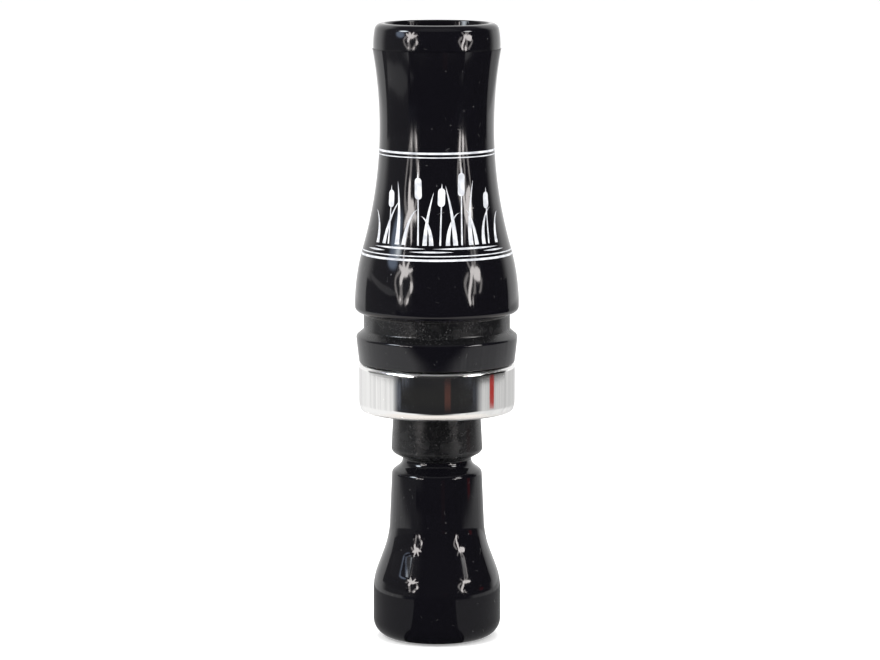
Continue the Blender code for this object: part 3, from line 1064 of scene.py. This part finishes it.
RIGHT_FOLDS = [
    (BRIGHT, [(-0.03, 0.02, 0.033), (0.03, 0.0, 0.052), (0.08, -0.02, 0.029)]),
    (BRIGHT, [(0.0, -0.02, 0.05), (-0.12, -0.04, 0.076), (-0.19, -0.06, 0.05)]),
    (DIM, [(-0.02, 0.01, 0.033), (-0.09, 0.07, 0.023), (-0.16, 0.125, 0.013)]),
    (DIM, [(0.02, 0.01, 0.033), (-0.02, 0.07, 0.023), (-0.03, 0.125, 0.015)]),
    (DIM, [(0.06, 0.02, 0.017), (0.12, 0.07, 0.02), (0.14, 0.125, 0.01)]),
    (DIM, [(-0.23, -0.09, 0.02), (-0.17, -0.2, 0.027), (-0.06, -0.28, 0.023)]),
    (DIM, [(-0.02, -0.08, 0.027), (-0.01, -0.15, 0.023), (0.02, -0.22, 0.033)]),
    (BRIGHT, [(0.03, -0.2, 0.02), (0.03, -0.26, 0.06), (0.03, -0.31, 0.037)]),
    (BRIGHT, [(0.05, -0.02, 0.033), (0.09, -0.1, 0.033), (0.16, -0.18, 0.029)]),
    (BRIGHT, [(0.13, -0.16, 0.023), (0.2, -0.23, 0.043), (0.13, -0.3, 0.023)]),
    (DIM, [(0.14, -0.01, 0.017), (0.27, -0.07, 0.037), (0.26, -0.15, 0.027), (0.2, -0.24, 0.017)]),
]


def make_studio():
    """Umbrellas, cards and flags, which only reflections see, and the lamps."""
    # Two umbrellas, a soft light above and outside each, and a blue window at the left
    make_umbrella("umbrella_left", around(-47.5, 1.0, 0.318), LEFT_FOLDS)
    make_umbrella("umbrella_right", around(55.0, 1.0, 0.313), RIGHT_FOLDS)
    make_card("strip_left", around(-67, 1.0, 0.56), 0.46, 0.38, COOL, 20.0, soft=True)
    make_card("window_left", around(-71, 0.6, 0.242), 0.26, 0.1, BLUE, 3.5, soft=True)
    make_card("strip_right", around(62, 1.0, 0.58), 0.4, 0.3, NEUTRAL, 14.0, soft=True)
    # A grey ceiling in front, and shading on the table
    make_arc("ceiling_front", (0.5, 0.15), (0.43, 0.72), (-52, 52), NEUTRAL, 0.3)
    flat = (-0.0001, -0.0001)
    on_table = [
        make_arc("table_shade", (0.01, 0.062), flat, (-180, 180), NEUTRAL, 0.3),
        make_arc("table_front", (0.01, 0.062), (0, 0), (-37, 30), NEUTRAL, 0.02),
        make_arc("table_far", (0.285, 0.38), flat, (-53, 53), NEUTRAL, 0.025),
    ]
    for card in on_table:
        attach(card, "seals")
    # Dark flags, each hiding what's behind it
    make_arc("flag_groove", (0.06, 0.06), (0.052, 0.062), (25, 108), NEUTRAL, 0.0)
    make_arc("flag_right", (0.3, 0.3), (0.013, 0.083), (51, 117), NEUTRAL, 0.03)
    make_arc("flag_left", (0.302, 0.302), (0.015, 0.083), (-117, -57), NEUTRAL, 0.15)
    make_arc("flag_inner", (0.303, 0.303), (0.013, 0.04), (-57, -51), NEUTRAL, 0.03)
    make_arc("flag_lip", (0.152, 0.152), (0.066, 0.0725), (-75, -54), NEUTRAL, 0.12)
    # A grey panel at the left
    low_rim = [(-103, 0.0815), (-84, 0.0765), (-67, 0.0725), (-56, 0.0745)]
    top_rim = [(-57.5, 0.0785), (-67.5, 0.0825), (-79, 0.0835), (-107, 0.0865)]
    make_panel("panel_left", 0.15, low_rim + top_rim, 0.62)
    # Two low strips of colour
    low_strip = (-0.002, 0.016)
    make_arc("strip_brown", (0.29, 0.29), low_strip, (11, 19.6), (0.085, 0.042, 0.036))
    make_arc("strip_red", (0.29, 0.29), low_strip, (82.0, 91.0), (0.4, 0.045, 0.04))
    # Lamps
    make_light("key_left", (-0.6, -0.5, 0.7), 0.5, 6.0)
    make_light("key_right", (0.6, -0.5, 0.6), 0.5, 4.0)
    make_light("top", (0.0, 0.1, 0.9), 0.6, 5.0)


make_camera()
make_floor()
make_world()
make_studio()
bpy.context.scene.view_settings.view_transform = "Standard"
